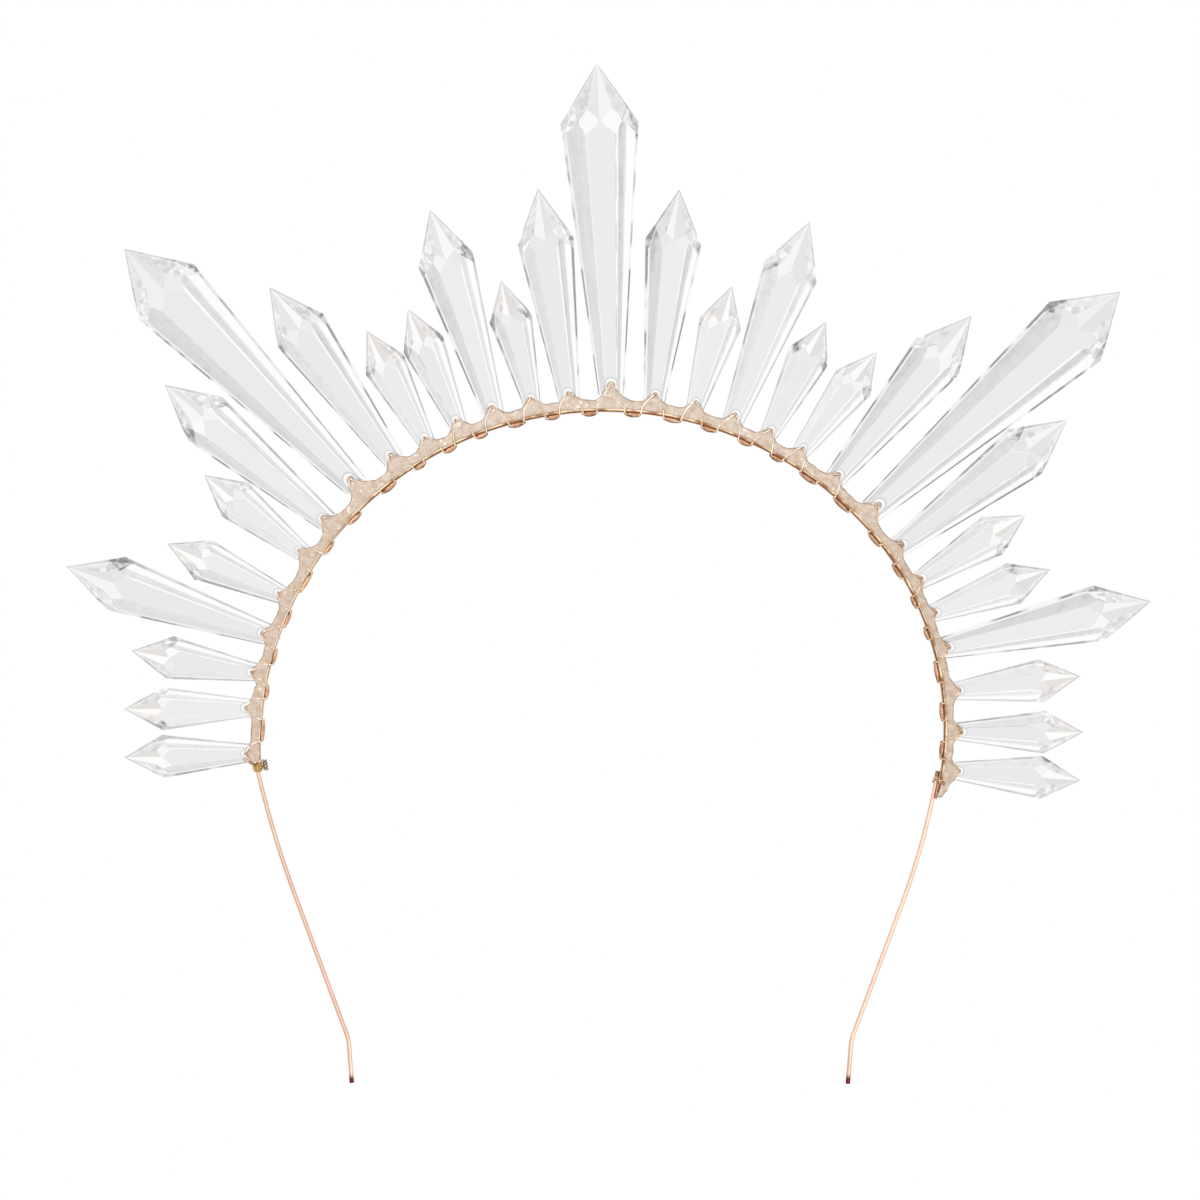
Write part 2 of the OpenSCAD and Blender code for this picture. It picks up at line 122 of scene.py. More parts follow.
def bandArc(place):
    # centre, radius and outward angle of the band at a place along it
    if place < leftLength:
        radius = crown["leftRadius"]
        return (direction(topEnd) * (crown["topRadius"] - radius), radius,
                topEnd + crown["leftSweep"] - math.degrees(place / radius))
    if place < leftLength + topLength:
        radius = crown["topRadius"]
        return Vector((0, 0, 0)), radius, topEnd - math.degrees((place - leftLength) / radius)
    radius = crown["rightRadius"]
    return (direction(crown["topStart"]) * (crown["topRadius"] - radius), radius,
            crown["topStart"] - math.degrees((place - leftLength - topLength) / radius))


def alongTable(table, place):
    for (a, low), (b, high) in zip(table, table[1:]):
        if place <= b:
            return low + (high - low) * max(0.0, place - a) / (b - a)
    return table[-1][1]


def bandPoint(place, height, z=0.0):
    centre, radius, angle = bandArc(place)
    return centre + (radius + height) * direction(angle) + Vector((0, 0, z))


def sunkPoint(place, height, z=0.0):
    # a point by the strip, which is bent a little further in over the top than a plain arc
    return bandPoint(place, height + alongTable(crown["sunk"], place), z)


def inFrame(point):
    # crown millimetres to frame metres
    return (point + Vector(crown["shift"])) * mm


def dropTurn(i):
    # angle of a drop's own x axis
    return bandArc(dropRows[i][1])[2] + dropRows[i][2] - 90


def dropPlace(i, x, y, z=0.0):
    # a point of a drop's own frame: x across, y from its neck end to its tip, z to the front
    kind, place, lean, seat, roll = dropRows[i]
    r = math.radians(roll)
    across = x * math.cos(r) + z * math.sin(r)
    front = z * math.cos(r) - x * math.sin(r)
    return (bandPoint(place, seat) + across * direction(dropTurn(i)) + y * direction(dropTurn(i) + 90)
            + Vector((0, 0, front)))


def newMesh(name, verts, faces, smooth=True):
    mesh = bpy.data.meshes.new(name)
    mesh.from_pydata([tuple(v) for v in verts], [], faces)
    mesh.validate()
    mesh.polygons.foreach_set("use_smooth", [smooth] * len(mesh.polygons))
    piece = bpy.data.objects.new(name, mesh)
    bpy.context.scene.collection.objects.link(piece)
    return piece


def tubeFaces(start, rings, sides):
    # faces of a tube through rings of points that follow one another, with both ends closed
    faces = []
    for i in range(rings - 1):
        for k in range(sides):
            a, b = start + i * sides + k, start + i * sides + (k + 1) % sides
            faces.append((a, b, b + sides, a + sides))
    last = start + (rings - 1) * sides
    return faces + [tuple(start + k for k in reversed(range(sides))), tuple(last + k for k in range(sides))]


def applyModifier(piece, kind, **values):
    modifier = piece.modifiers.new(kind.lower(), kind)
    for key, value in values.items():
        setattr(modifier, key, value)
    depsgraph = bpy.context.evaluated_depsgraph_get()
    done = bpy.data.meshes.new_from_object(piece.evaluated_get(depsgraph))
    piece.modifiers.remove(modifier)
    old = piece.data
    piece.data = done
    bpy.data.meshes.remove(old)


def turnOutwards(piece, *others):
    # takes the others' meshes in, and turns every face outwards
    mesh = bmesh.new()
    for part in (piece, *others):
        mesh.from_mesh(part.data)
    bmesh.ops.recalc_face_normals(mesh, faces=mesh.faces)
    mesh.to_mesh(piece.data)
    mesh.free()
    for part in others:
        bpy.data.objects.remove(part)


def addValues(mesh, name, domain, values):
    # one number, or three, for each face or point
    values = np.array(values, np.float32)
    kind, key = ("FLOAT_VECTOR", "vector") if values.ndim == 2 else ("FLOAT", "value")
    mesh.attributes.new(name, kind, domain).data.foreach_set(key, values.ravel())


def dress(piece, material):
    piece.data.materials.clear()
    piece.data.materials.append(material)


def copyOfNode(name, pieceName):
    piece = bpy.data.objects.new(pieceName, nodes[name].data.copy())
    bpy.context.scene.collection.objects.link(piece)
    return piece


def feed(tree, node, inputs):
    # a socket is linked, and a plain value is set
    for key, value in inputs.items():
        if isinstance(value, bpy.types.NodeSocket):
            tree.links.new(value, node.inputs[key])
        else:
            node.inputs[key].default_value = value


def placeNode(tree, kind, inputs=None, **values):
    made = tree.nodes.new(kind)
    # the nodes stand in columns of six, and the first column, with the shader, is furthest right
    column, row = divmod(len(tree.nodes) - 1, 6)
    made.location = (-240 * column, -260 * row)
    for key, value in values.items():
        setattr(made, key, value)
    feed(tree, made, inputs or {})
    return made


def calc(tree, operation, *inputs, clamp=False):
    return placeNode(tree, "ShaderNodeMath", dict(enumerate(inputs)),
                     operation=operation, use_clamp=clamp).outputs[0]


def mapRange(tree, value, low, high, start=0.0, end=1.0):
    inputs = {"Value": value, "From Min": low, "From Max": high, "To Min": start, "To Max": end}
    return placeNode(tree, "ShaderNodeMapRange", inputs).outputs["Result"]


def blend(tree, share, first, second, kind="RGBA", way="MIX"):
    # first and second are sockets, numbers or colours
    inputs = {"Factor": share}
    for key, value in (("A", first), ("B", second)):
        inputs[key] = (*value, 1) if isinstance(value, tuple) else value
    return placeNode(tree, "ShaderNodeMix", inputs, data_type=kind, blend_type=way).outputs["Result"]


def toneRamp(tree, value, stops, steps="LINEAR", tint=(1, 1, 1)):
    ramp = placeNode(tree, "ShaderNodeValToRGB", {"Fac": value})
    ramp.color_ramp.interpolation = steps
    while len(ramp.color_ramp.elements) < len(stops):
        ramp.color_ramp.elements.new(0.5)
    for element, (position, tone) in zip(ramp.color_ramp.elements, stops):
        element.position = position
        element.color = (*[tone * share for share in tint], 1)
    return ramp.outputs["Color"]


def addAttribute(tree, name, output="Fac"):
    return placeNode(tree, "ShaderNodeAttribute", attribute_name=name).outputs[output]


def addNoise(tree, vector, scale, detail):
    inputs = {"Vector": vector, "Scale": scale, "Detail": detail}
    return placeNode(tree, "ShaderNodeTexNoise", inputs).outputs["Fac"]


def splitVector(tree, vector):
    return placeNode(tree, "ShaderNodeSeparateXYZ", {0: vector}).outputs


def splitPlace(tree, space="Object"):
    # x, y and z of a point in the frame's metres, or of a direction in the sky
    return splitVector(tree, placeNode(tree, "ShaderNodeTexCoord").outputs[space])


def makeMaterial(name):
    material = bpy.data.materials.new(name)
    material.use_nodes = True
    tree = material.node_tree
    tree.nodes.clear()
    shader = placeNode(tree, "ShaderNodeBsdfPrincipled")
    placeNode(tree, "ShaderNodeOutputMaterial", {"Surface": shader.outputs["BSDF"]})
    return material, tree, shader


# Camera and studio, in metres
studio = {
    "frameWidth": 0.360,      # what the photo's frame covers at the crown
    "centre": (-0.0026, -0.0080), "distance": 1.5, "sensor": 36.0, "clipStart": 0.01,
    "floorHalf": 40.0, "floorLow": -0.0002, "glow": 1.0,
    # brightness of the room by height, with a hint of blue, and of the plain backdrop
    "sky": ((0.0, 0.5), (0.25, 0.5), (0.6, 0.7), (1.0, 1.1)), "skyTint": (1.0, 1.0, 1.01), "backdrop": 0.93,
    # name, power, place and size
    "lamps": (("keyPanel", 3.5, (-0.55, 0.5, 0.75), 0.6), ("fillPanel", 1.8, (0.6, -0.35, 0.7), 0.8)),
    "bounces": {"max_bounces": 24, "transmission_bounces": 24, "glossy_bounces": 12,
                "transparent_max_bounces": 16},
}


def buildStudio():
    scene = bpy.context.scene
    camera = bpy.data.objects.new("photoCamera", bpy.data.cameras.new("photoCamera"))
    scene.collection.objects.link(camera)
    camera.data.sensor_width = studio["sensor"]
    camera.data.lens = studio["sensor"] * studio["distance"] / studio["frameWidth"]
    camera.data.clip_start = studio["clipStart"]
    camera.location = (*studio["centre"], crown["shift"][2] * mm + studio["distance"])
    scene.camera = camera

    half = studio["floorHalf"]
    floor = newMesh("studioFloor", [(-half, -half, 0), (half, -half, 0), (half, half, 0), (-half, half, 0)],
                    [(0, 1, 2, 3)])
    floor.location.z = studio["floorLow"]
    # The floor only glows, as a lit table does, and takes no shadow
    material, tree, shader = makeMaterial("floorWhite")
    feed(tree, shader, {"Base Color": (0, 0, 0, 1), "Roughness": 1.0, "Specular IOR Level": 0.0,
                        "Emission Color": (1, 1, 1, 1), "Emission Strength": studio["glow"]})
    dress(floor, material)

    world = bpy.data.worlds.new("studioSky")
    scene.world = world
    world.use_nodes = True
    tree = world.node_tree
    tree.nodes.clear()
    height = splitPlace(tree, "Generated")["Z"]
    room = toneRamp(tree, height, studio["sky"], tint=studio["skyTint"])
    soft = placeNode(tree, "ShaderNodeBackground", {"Color": room})
    plain = placeNode(tree, "ShaderNodeBackground", {"Color": (studio["backdrop"],) * 3 + (1,)})
    seen = placeNode(tree, "ShaderNodeLightPath").outputs["Is Camera Ray"]
    mix = placeNode(tree, "ShaderNodeMixShader",
                    {"Fac": seen, 1: soft.outputs["Background"], 2: plain.outputs["Background"]})
    placeNode(tree, "ShaderNodeOutputWorld", {"Surface": mix.outputs["Shader"]})

    for name, power, place, size in studio["lamps"]:
        light = bpy.data.lights.new(name, "AREA")
        light.energy = power
        light.size = size
        lamp = bpy.data.objects.new(name, light)
        scene.collection.objects.link(lamp)
        lamp.location = place
        lamp.visible_transmission = False    # the drops show the soft room, not the lamps
        lamp.rotation_euler = (Vector((0, 0, 0)) - Vector(place)).to_track_quat("-Z", "Y").to_euler()

    scene.view_settings.view_transform = "Standard"
    scene.cycles.use_denoising = True
    for key, count in studio["bounces"].items():
        setattr(scene.cycles, key, count)
    print("studio built")


# Shared effect: slow waves and fine grain of cast or drawn surfaces, as a height and a mask
waveInputs = ("Wave Scale", "Grain Scale", "Grain Share", "Contrast")


def buildSurfaceWaves():
    group = bpy.data.node_groups.new("surfaceWaves", "ShaderNodeTree")
    for name, value in zip(waveInputs, (100.0, 2000.0, 0.1, 1.0)):
        socket = group.interface.new_socket(name, in_out="INPUT", socket_type="NodeSocketFloat")
        socket.default_value = value
    for name in ("Height", "Mask"):
        group.interface.new_socket(name, in_out="OUTPUT", socket_type="NodeSocketFloat")
    entry = placeNode(group, "NodeGroupInput").outputs
    coords = placeNode(group, "ShaderNodeTexCoord").outputs["Object"]
    wave = addNoise(group, coords, entry["Wave Scale"], 2)
    grain = addNoise(group, coords, entry["Grain Scale"], 3)
    height = calc(group, "ADD", wave, calc(group, "MULTIPLY", grain, entry["Grain Share"]))
    mask = calc(group, "MULTIPLY_ADD", calc(group, "SUBTRACT", wave, 0.5),
                entry["Contrast"], 0.5, clamp=True)
    placeNode(group, "NodeGroupOutput", {"Height": height, "Mask": mask})
    return group


surfaceWaves = buildSurfaceWaves()


def addWaves(tree, values):
    # values: wave scale, grain scale, share of grain in the height, contrast of the mask
    made = placeNode(tree, "ShaderNodeGroup", dict(zip(waveInputs, values)), node_tree=surfaceWaves)
    return made.outputs["Mask"], made.outputs["Height"]


def addBump(tree, shader, height, values):
    # values: strength, and distance in metres
    bump = placeNode(tree, "ShaderNodeBump",
                     {"Strength": values[0], "Distance": values[1], "Height": height})
    feed(tree, shader, {"Normal": bump.outputs["Normal"]})


# Clear drops: moulded acrylic, cut flat. Each facet's tone is painted shade and highlight in place of what the
# plastic shows by refraction and reflection, with painted light or dark lines along its edges. A tone is a
# share between "shade" and "clear"
dropLook = {
    "shade": (0.065, 0.06, 0.07), "clear": (0.985, 0.985, 0.99), "peach": (0.95, 0.74, 0.6),
    "ior": 1.49, "roughness": 0.02, "toneDepth": 2.2,
    # how solid a tone looks: dark lines are solid, white ones let the ground through
    "alphas": ((0.0, 0.97), (0.3, 0.8), (0.5, 0.64), (0.82, 0.62), (1.0, 0.3)),
    # painted tones for each kind of facet and for the lines along its edges: low ones are painted shade, high
    # ones painted highlight
    "front": 0.73, "side": {"small": 0.88, "medium": 0.68, "large": 0.64}, "neck": 0.8, "bore": 0.6,
    "lozengeDark": {"small": 0.46, "medium": 0.34, "large": 0.38}, "lozengePale": 0.76, "lozengeFront": 0.8,
    "tipFront": {"small": (0.97, 0.66), "medium": (0.88, 0.7), "large": (0.84, 0.7)}, "tipSlant": 0.71,
    "slantShare": {"small": (0.35, 0.75), "medium": (0.6, 1.0), "large": (0.7, 1.0)},
    "flatLine": 1.0, "darkLine": 0.12, "sideLine": 0.06, "tipLine": 0.36, "boreLine": 0.3,
    # how much one facet's tone differs from the next one's, and how often a facet is the darker kind
    "spread": 0.07, "lozengeLineOdds": 0.6, "tipSideOdds": 0.7, "lozengeOdds": {"right": 0.35, "left": 0.6},
    "tipWarmth": {"small": 0.42, "medium": 0.24, "large": 0.12},
    # parts of the tip's warmth that its facets and lines have
    "warmShare": {"tipLine": 2.0, "tipPale": 0.3, "tipGrey": 1.5, "tipSlant": 1.6,
                  "lozengeLine": 0.4, "lozengeFront": 0.3}, "lozengeWarmth": 0.25,
    # painted shade and highlight across the slanted facets, from the drop's left side to its right side
    "slantTones": ((-1.0, 0.34), (-0.6, 0.45), (-0.41, 0.5), (0.41, 1.0), (0.45, 1.0), (0.48, 0.43),
                   (0.64, 0.54), (0.72, 1.0), (1.0, 1.0)),
    # millimetres in from a drop's side: a painted dark shade line, then a painted white highlight line, then
    # the facet's painted tone
    "edgeDark": (0.26, 0.44), "edgeWhite": (0.62, 0.95), "edgeTone": 0.08, "shoulderDark": 0.85,
    "edgeShares": {"tip": 0.42, "lozenge": 0.5},
    # streaks along the drop, and painted angular glints at its shoulder
    "streakShare": 0.05, "streakStretch": 0.008, "streakScale": 11.0, "streakBetween": (0.35, 0.65),
    "glintShare": 0.8, "glintShares": {"lozenge": 1.25, "tip": 0.8, "body": 0.25, "neck": 0.25, "bore": 0.25},
    "glintReach": 0.55, "glintScale": 0.6,
    "glintTones": ((0.0, 0.05), (0.22, 0.36), (0.36, 0.5), (0.7, 0.58), (0.82, 0.85)),
    # painted highlight and shade round the bore, by distance from its middle in bore radii, and where they fade
    # out
    "ringTones": ((0.0, 0.9), (1.0, 0.96), (1.32, 0.96), (1.55, 0.4), (1.8, 0.52), (2.2, 0.74)),
    "ringReach": 2.4, "ringFade": (0.7, 0.95), "ringAway": (-0.6, 0.4),
    # where the painted dark shade lines fade out along a drop
    "breakScale": 0.11, "breakTone": 0.92, "breakBetween": (0.48, 0.6), "breakDark": (0.15, 0.5),
    "seed": 400, "patternStep": 7.3,
}
# How the facets are cut and told apart, in the drop's own millimetres and in degrees
dropCut = {
    "bevel": 0.3, "bevelFrom": 11.0, "flatWithin": 0.6, "weld": 1e-6,
    "neckTop": 0.6, "tipTop": 0.3, "boreNear": 0.1, "lozengeReach": 0.75, "atSide": 0.3,
    # how squarely a facet faces the front or the back: 1 straight, 0 sideways
    "square": 0.97, "squareLine": 0.8, "squareLozenge": 0.75, "squareTip": 0.5, "sideways": 0.2,
    # a piece of a cut facet lies in the facet's plane: the least agreement and the most distance
    "samePlane": (0.9996, 0.04),
    "order": (10.0, 100.0, 1.0),    # direction along which a drop's faces are put in order
}


def clearDropMaterial():
    look = dropLook
    material, tree, shader = makeMaterial("clearDrop")
    care, place, span = [addAttribute(tree, name, "Vector") for name in ("facetShadeAndTint", "dropPlace", "dropSpan")]
    tone, profileShare, warmth = splitVector(tree, care)
    across, along = splitVector(tree, place)[:2]
    halfWidth, glintNear, seed = splitVector(tree, span)

    # where a point of a slanted facet lies between the drop's two sides, -1 to 1, which sets the painted shade
    # and highlight across it
    share = calc(tree, "DIVIDE", across, halfWidth)
    slant = toneRamp(tree, calc(tree, "MULTIPLY_ADD", share, 0.5, 0.5),
                     [(0.5 + 0.5 * at, shade) for at, shade in look["slantTones"]])
    facet = blend(tree, profileShare, tone, slant, "FLOAT")

    # a painted dark shade line and a painted white highlight line along the drop's sides
    inward = calc(tree, "SUBTRACT", halfWidth, calc(tree, "ABSOLUTE", across))
    thick = calc(tree, "MULTIPLY_ADD", glintNear, -look["shoulderDark"], inward)
    edgeTone = mapRange(tree, thick, *look["edgeDark"], look["edgeTone"], 1.0)
    nearEdge = mapRange(tree, thick, *look["edgeWhite"], 1.0, 0.0)
    edging = calc(tree, "MULTIPLY", addAttribute(tree, "edgeShare"), nearEdge)
    edged = blend(tree, edging, facet, edgeTone, "FLOAT")

    # a painted white highlight ring and a painted grey shade arc round the bore, on the side away from the band
    away = addAttribute(tree, "boreAway", "Vector")
    reach = placeNode(tree, "ShaderNodeVectorMath", {0: away}, operation="LENGTH").outputs["Value"]
    scaled = calc(tree, "DIVIDE", reach, look["ringReach"])
    ring = toneRamp(tree, scaled,
                    [(at / look["ringReach"], shade) for at, shade in look["ringTones"]])
    within = mapRange(tree, scaled, *look["ringFade"], 1.0, 0.0)
    farSide = mapRange(tree, splitVector(tree, away)["Y"], *look["ringAway"])
    ringed = blend(tree, calc(tree, "MULTIPLY", within, farSide), edged, ring, "FLOAT")

    # fine streaks along the drop, and small painted angular glints near its shoulder
    moved = placeNode(tree, "ShaderNodeVectorMath", {0: place, 1: seed},
                      operation="ADD").outputs[0]
    slow = calc(tree, "MULTIPLY", along, look["streakStretch"])
    drawn = placeNode(tree, "ShaderNodeCombineXYZ", {"X": share, "Y": slow, "Z": seed}).outputs[0]
    streak = mapRange(tree, addNoise(tree, drawn, look["streakScale"], 2),
                      *look["streakBetween"], -look["streakShare"], look["streakShare"])
    cells = placeNode(tree, "ShaderNodeTexVoronoi", {"Vector": moved, "Scale": look["glintScale"]})
    pick = splitVector(tree, cells.outputs["Color"])["X"]
    glintTone = toneRamp(tree, pick, look["glintTones"], "CONSTANT")
    allowed = calc(tree, "MULTIPLY", addAttribute(tree, "glintShare"), glintNear)
    glinting = calc(tree, "MULTIPLY", calc(tree, "SUBTRACT", glintTone, 0.5), allowed)
    streaked = calc(tree, "MULTIPLY_ADD", streak, profileShare, ringed)
    total = calc(tree, "ADD", streaked, glinting, clamp=True)

    # the painted dark shade lines come and go along the drop
    faded = mapRange(tree, addNoise(tree, moved, look["breakScale"], 1),
                     *look["breakBetween"])
    darkness = mapRange(tree, total, *look["breakDark"], 1.0, 0.0)
    broken = blend(tree, calc(tree, "MULTIPLY", faded, darkness),
                   total, look["breakTone"], "FLOAT")
    deeper = calc(tree, "POWER", broken, look["toneDepth"])
    colour = blend(tree, warmth, blend(tree, deeper, look["shade"], look["clear"]),
                   look["peach"], way="MULTIPLY")

    # a facet seen from inside lets light straight out, which keeps the clear plastic free of grain
    inside = placeNode(tree, "ShaderNodeNewGeometry").outputs["Backfacing"]
    showing = calc(tree, "MULTIPLY", toneRamp(tree, broken, look["alphas"]),
                   calc(tree, "SUBTRACT", 1.0, inside))
    feed(tree, shader, {"Base Color": colour, "Roughness": look["roughness"], "Transmission Weight": 1.0,
                        "IOR": look["ior"], "Alpha": showing})
    return material


def dropFrame(i):
    # turns frame metres into the drop's own millimetres: x across, y to the tip, z to the front
    kind, place, lean, seat, roll = dropRows[i]
    r = math.radians(roll)
    origin = bandPoint(place, seat)
    side, along = direction(dropTurn(i)), direction(dropTurn(i) + 90)

    def turned(v):
        across, front = v.dot(side), v.z
        return Vector((across * math.cos(r) - front * math.sin(r), v.dot(along),
                       across * math.sin(r) + front * math.cos(r)))
    return (lambda point: turned(point / mm - Vector(crown["shift"]) - origin)), turned


def facetKind(size, centre, normal, topMost):
    # name of a facet from its middle, its direction and its highest point, all in the drop's own frame
    cut = dropCut
    fromBore = math.hypot(centre.x, centre.y - size["boreAt"])
    if abs(normal.z) < cut["sideways"] and fromBore < size["bore"] / 2 + cut["boreNear"]:
        return "bore"
    if centre.y < cut["neckTop"]:
        return "neck"
    if topMost > size["length"] - cut["tipTop"]:
        return "tip"
    if centre.y > size["length"] - size["tip"] - size["lozenge"] * cut["lozengeReach"]:
        return "lozenge"
    return "body"


def facetShadeAndTint(kind, size, centre, normal, isLine, chance):
    # painted tone, share of the slanted facet's painted shade profile, warmth
    look, cut, warm = dropLook, dropCut, dropLook["warmShare"]
    square = abs(normal.z) / max(1e-6, math.hypot(normal.x, normal.z))
    warmth = look["tipWarmth"][size["name"]]
    wobble = look["spread"] * (2 * chance - 1)
    if kind == "bore":
        return (look["boreLine"] if isLine else look["bore"]), 0, 0
    if kind == "neck":
        return look["neck"] + wobble, 0, 0
    # a narrow face cut along an edge is a painted line, dark for shade and white for highlight
    if isLine:
        if kind == "tip":
            return look["tipLine"] + wobble, 0, min(1, warmth * warm["tipLine"])
        if kind == "lozenge":
            dark = chance < look["lozengeLineOdds"] and abs(centre.x) > cut["atSide"] * size["width"]
            return (look["sideLine"] if dark else look["flatLine"]), 0, warmth * warm["lozengeLine"]
        if square > cut["squareLine"]:
            return (look["darkLine"] if centre.x * size["paintedShadeSide"] > 0 else look["flatLine"]), 0, 0
        return look["sideLine"], 0, 0
    if kind == "tip" and square > cut["square"]:
        # the two halves of the tip's front differ, one painted white highlight and one painted grey shade with
        # a warm tint
        grey = (centre.x > 0) == (chance < look["tipSideOdds"])
        return (look["tipFront"][size["name"]][grey] + wobble / 2, 0,
                warmth * warm["tipGrey" if grey else "tipPale"])
    if kind == "tip":
        return look["tipSlant"] + wobble, 0, warmth * warm["tipSlant"] * chance
    if kind == "lozenge":
        if square > cut["squareLozenge"]:
            return look["lozengeFront"] + 2 * wobble, 0, warmth * warm["lozengeFront"]
        dark = chance < look["lozengeOdds"]["right" if normal.x > 0 else "left"]
        tone = look["lozengeDark"][size["name"]] if dark else look["lozengePale"]
        return tone + 2 * wobble, 0, look["lozengeWarmth"]
    if square > cut["square"]:
        return look["front"] + wobble / 2, 0, 0
    if square < cut["sideways"]:
        return look["side"][size["name"]] + wobble, 0, 0
    low, high = look["slantShare"][size["name"]]
    return 1.0, low + (high - low) * chance, 0


def cutDrop(i, piece, size, luck, local, turned):
    # cuts flats along the sharp edges, and gives each facet its painted tone, painted glints and painted edge
    # lines
    look, cut = dropLook, dropCut

    def measured(face):
        centre, normal = local(face.calc_center_median()), turned(face.normal)
        return centre, normal, facetKind(size, centre, normal, max(local(v.co).y for v in face.verts))

    mesh = bmesh.new()
    mesh.from_mesh(piece.data)
    bmesh.ops.remove_doubles(mesh, verts=mesh.verts, dist=cut["weld"])
    bmesh.ops.dissolve_limit(mesh, angle_limit=math.radians(cut["flatWithin"]),
                             verts=mesh.verts, edges=mesh.edges)
    # the tip's front and back are parted down the middle
    tips = [f for f in mesh.faces if max(local(v.co).y for v in f.verts) > size["length"] - cut["tipTop"]
            and abs(turned(f.normal).z) > cut["squareTip"]]
    outline = list({e for f in tips for e in f.edges} | {v for f in tips for v in f.verts})
    bmesh.ops.bisect_plane(mesh, geom=tips + outline, plane_co=inFrame(dropPlace(i, 0, 0)),
                           plane_no=direction(dropTurn(i)), dist=1e-7)
    facets = []
    for face in mesh.faces:
        centre, normal, kind = measured(face)
        facets.append((normal, normal.dot(centre), kind, luck.random()))
    sharp = [e for e in mesh.edges
             if len(e.link_faces) == 2 and e.calc_face_angle(0) > math.radians(cut["bevelFrom"])]
    bmesh.ops.bevel(mesh, geom=sharp, offset=cut["bevel"] * mm, offset_type="OFFSET", segments=1,
                    profile=0.5, affect="EDGES", clamp_overlap=True)
    bmesh.ops.triangulate(mesh, faces=[f for f in mesh.faces if len(f.verts) > 4])
    # the bevel makes its faces in another order each run, so they are put in one order for their draws
    mesh.faces.sort(key=lambda face: local(face.calc_center_median()).dot(Vector(cut["order"])))
    mesh.faces.ensure_lookup_table()

    cares, glints, edges = [], [], []
    agreement, distance = cut["samePlane"]
    for face in mesh.faces:
        centre, normal, kind = measured(face)
        at = normal.dot(centre)
        match = [f for f in facets if f[0].dot(normal) > agreement and abs(f[1] - at) < distance]
        kind, chance = match[0][2:] if match else (kind, luck.random())
        cares.append(facetShadeAndTint(kind, size, centre, normal, not match, chance))
        flat = abs(normal.z) > cut["square"] * math.hypot(normal.x, normal.z) or kind in ("neck", "bore")
        glints.append(0.0 if flat and match else look["glintShares"][kind])
        edges.append(0.0 if normal.z <= 0 or not match else look["edgeShares"].get(kind, cares[-1][1]))
    mesh.to_mesh(piece.data)
    mesh.free()
    for name, values in (("facetShadeAndTint", cares), ("glintShare", glints), ("edgeShare", edges)):
        addValues(piece.data, name, "FACE", values)


def measureDrop(i, mesh, size, local):
    # where each point lies in the drop: its own place, the half width there, and the way from the bore
    shoulder = size["length"] - size["tip"]
    places, spans, aways = [], [], []
    for v in mesh.vertices:
        p = local(v.co)
        half = size["neck"] / 2 + (size["width"] - size["neck"]) / 2 * p.y / shoulder
        if p.y > shoulder:
            half = max(0.05, size["width"] / 2 * (size["length"] - p.y) / size["tip"])
        near = max(0.0, 1 - abs(p.y - shoulder) / (dropLook["glintReach"] * size["tip"]))
        places.append(tuple(p))
        spans.append((half, near * dropLook["glintShare"], dropLook["patternStep"] * i))
        aways.append((p.x * 2 / size["bore"], (p.y - size["boreAt"]) * 2 / size["bore"], 0))
    for name, values in (("dropPlace", places), ("dropSpan", spans), ("boreAway", aways)):
        addValues(mesh, name, "POINT", values)


def buildDrops():
    material = clearDropMaterial()
    # the lamps leave the drops alone, because their glare on clear plastic is only grain
    unlit = bpy.data.collections.new("dropsWithoutLamps")
    for i, name in enumerate(dropNodes):
        luck = random.Random(dropLook["seed"] + i)
        # which edge of the front has a painted dark shade line
        size = dict(dropSizes[dropRows[i][0]], name=dropRows[i][0], paintedShadeSide=luck.choice((-1, 1, 0)))
        local, turned = dropFrame(i)
        piece = copyOfNode(name, "clear" + name[0].upper() + name[1:])
        cutDrop(i, piece, size, luck, local, turned)
        measureDrop(i, piece.data, size, local)
        piece.data.polygons.foreach_set("use_smooth", [False] * len(piece.data.polygons))
        dress(piece, material)
        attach(piece, "root")
        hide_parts(name)
        unlit.objects.link(piece)
    for member in unlit.collection_objects:
        member.light_linking.link_state = "EXCLUDE"
    for lamp in studio["lamps"]:
        bpy.data.objects[lamp[0]].light_linking.receiver_collection = unlit
    print("drops built:", len(dropNodes))


# Shared by the metals: the waves' grain and contrast, and the bump. A piece may have its own
metal = {"grainScale": 4000.0, "grainShare": 0.3, "contrast": 2.5, "bump": (0.4, 0.00003)}

# Wires: two tones in slow waves, and the roughness of both
wires = {
    # the gold is duller on the crown's right side, from the first place to the second, in metres
    "goldWire": {"first": (0.98, 0.85, 0.68), "second": (0.8, 0.57, 0.38), "roughness": (0.14, 0.3),
                 "waveScale": 500.0, "dull": (0.82, 0.72, 0.62), "dullBetween": (0.06, 0.09)},
    "wornWire": {"first": (0.85, 0.62, 0.38), "second": (0.45, 0.27, 0.15), "roughness": (0.2, 0.36),
                 "waveScale": 600.0},
    "bronzeWire": {"first": (0.86, 0.62, 0.25), "second": (0.46, 0.28, 0.08), "roughness": (0.2, 0.36),
                   "waveScale": 600.0},
    "darkWire": {"first": (0.62, 0.42, 0.2), "second": (0.13, 0.07, 0.03), "roughness": (0.2, 0.36),
                 "waveScale": 900.0},
}


def startMetal(name, look):
    # a metal with two tones in slow waves; gives the waves' mask and the colour to go on from
    look = {**metal, **look}
    material, tree, shader = makeMaterial(name)
    mask, height = addWaves(tree, (look["waveScale"], look["grainScale"], look["grainShare"], look["contrast"]))
    feed(tree, shader, {"Metallic": 1.0})
    addBump(tree, shader, height, look["bump"])
    return material, tree, shader, mask, blend(tree, mask, look["first"], look["second"])


